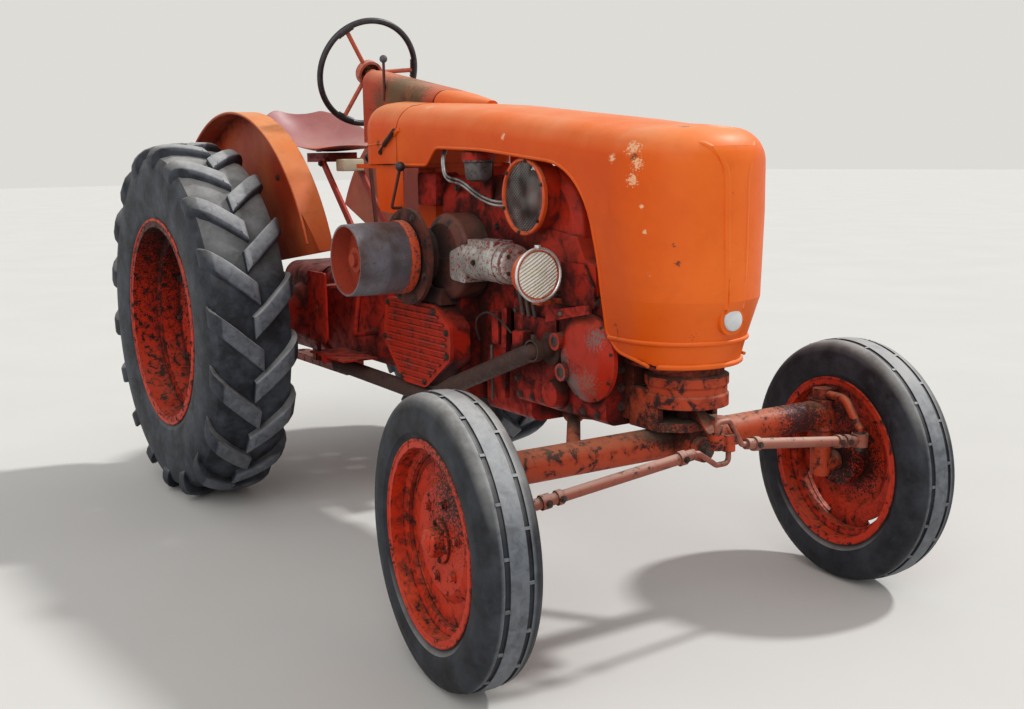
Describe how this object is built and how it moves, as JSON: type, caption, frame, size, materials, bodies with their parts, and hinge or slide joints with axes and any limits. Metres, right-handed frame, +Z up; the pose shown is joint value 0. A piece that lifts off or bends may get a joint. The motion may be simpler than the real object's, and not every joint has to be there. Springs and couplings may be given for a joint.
{
  "type": "farm tractor",
  "caption": "Old open farm tractor: four tyred wheels, front axle with steering linkage, tilting hood, open engine side, belt pulley, fenders and pan seat.",
  "frame": {"origin": "on the ground, under the middle of the tractor", "axes": "+X forward, +Y left, +Z up"},
  "size_m": [3.0757, 1.5372, 1.7449],
  "materials": {
    "hood_paint": "weathered enamel",
    "old_paint": "greasy worn enamel",
    "engine_paint": "worn enamel",
    "wheel_paint": "worn enamel",
    "seat_paint": "faded enamel",
    "worn_iron": "worn",
    "alloy": "dull cast",
    "steel": "dull",
    "burnt_steel": "rusty",
    "screen": "worn enamel",
    "lens": "ribbed glass",
    "black_plastic": "worn",
    "tyre": "dusty"
  },
  "bodies": {
    "tractor": {"rear_axle_housing": "old_paint", "gearbox_housing": "old_paint", "engine_block": "old_paint", "cylinder_bank": "engine_paint", "blower_casing": "engine_paint", "intake_screen": "screen", "timing_cover": "old_paint", "pulley_housing": "old_paint", "ribbed_cover": "engine_paint", "starter_motor": "alloy", "fuel_filter_lines": "steel", "exhaust_pipe": "burnt_steel", "front_column": "old_paint", "steering_gear": "old_paint", "front_axle": "old_paint", "fuel_tank": "hood_paint", "tank_console": "hood_paint", "column_cover": "hood_paint", "fender_right": "hood_paint", "fender_left": "hood_paint", "seat_pan": "seat_paint", "seat_frame": "old_paint", "foot_rests": "old_paint", "hand_levers": "steel", "headlamp_bowls": "hood_paint", "headlamp_glasses": "lens", "drawbar": "old_paint", "pto_shaft": "steel"},
    "knuckle_right": {"knuckle_right": "old_paint"},
    "knuckle_left": {"knuckle_left": "old_paint"},
    "steering_lever": {"steering_lever": "worn_iron"},
    "tie_rod_right": {"tie_rod_right": "old_paint"},
    "tie_rod_left": {"tie_rod_left": "old_paint"},
    "steering_wheel": {"steering_wheel_rim": "black_plastic", "steering_wheel_spokes": "seat_paint"},
    "rear_wheel_right": {"rear_tyre_right": "tyre", "rear_wheel_right": "wheel_paint"},
    "rear_wheel_left": {"rear_tyre_left": "tyre", "rear_wheel_left": "wheel_paint"},
    "front_wheel_right": {"front_tyre_right": "tyre", "front_wheel_right": "wheel_paint"},
    "front_wheel_left": {"front_tyre_left": "tyre", "front_wheel_left": "wheel_paint"},
    "belt_pulley": {"belt_pulley": "worn_iron"},
    "hood": {"hood": "hood_paint"}
  },
  "joints": [
    {"name": "steer_right", "type": "hinge", "parent": "tractor", "child": "knuckle_right", "pos_m": [1.173, -0.56, 0.5], "axis": [0, 0, 1], "range_deg": [-29.44, 40.56]},
    {"name": "steer_left", "type": "hinge", "parent": "tractor", "child": "knuckle_left", "pos_m": [1.173, 0.56, 0.5], "axis": [0, 0, 1], "range_deg": [-29.44, 40.56]},
    {"name": "steering_lever_turn", "type": "hinge", "parent": "tractor", "child": "steering_lever", "pos_m": [1.228, 0, 0.6], "axis": [0, 0, 1], "range_deg": [-29.44, 40.56]},
    {"name": "tie_rod_right_swing", "type": "hinge", "parent": "knuckle_right", "child": "tie_rod_right", "pos_m": [1.32727, -0.57502, 0.46], "axis": [0, 0, 1], "range_deg": [-40.56, 29.44]},
    {"name": "tie_rod_left_swing", "type": "hinge", "parent": "knuckle_left", "child": "tie_rod_left", "pos_m": [1.32727, 0.54498, 0.46], "axis": [0, 0, 1], "range_deg": [-40.56, 29.44]},
    {"name": "steering_wheel_turn", "type": "hinge", "parent": "tractor", "child": "steering_wheel", "pos_m": [-0.5545, 0, 1.554], "axis": [-0.9444, 0, 0.3289], "range_deg": [-353.28, 486.72]},
    {"name": "rear_right_roll", "type": "hinge", "parent": "tractor", "child": "rear_wheel_right", "pos_m": [-0.872, -0.592, 0.656], "axis": [0, 1, 0], "continuous": true},
    {"name": "rear_left_roll", "type": "hinge", "parent": "tractor", "child": "rear_wheel_left", "pos_m": [-0.872, 0.592, 0.656], "axis": [0, 1, 0], "continuous": true},
    {"name": "front_right_roll", "type": "hinge", "parent": "knuckle_right", "child": "front_wheel_right", "pos_m": [1.16254, -0.66749, 0.355], "axis": [0.0969, 0.9953, 0], "continuous": true},
    {"name": "front_left_roll", "type": "hinge", "parent": "knuckle_left", "child": "front_wheel_left", "pos_m": [1.18346, 0.66749, 0.355], "axis": [0.0969, 0.9953, 0], "continuous": true},
    {"name": "belt_pulley_spin", "type": "hinge", "parent": "tractor", "child": "belt_pulley", "pos_m": [0.268, -0.4, 0.945], "axis": [0, 1, 0], "continuous": true},
    {"name": "hood_tilt", "type": "hinge", "parent": "tractor", "child": "hood", "pos_m": [1.337, 0, 0.728], "axis": [0, 1, 0], "range_deg": [0, 60]}
  ],
  "couplings": [
    {"joint": "steer_left", "follows": "steer_right", "ratio": 1},
    {"joint": "steering_lever_turn", "follows": "steer_right", "ratio": 1},
    {"joint": "tie_rod_right_swing", "follows": "steer_right", "ratio": -0.972},
    {"joint": "tie_rod_left_swing", "follows": "steer_right", "ratio": -0.972},
    {"joint": "steering_wheel_turn", "follows": "steer_right", "ratio": 12}
  ]
}
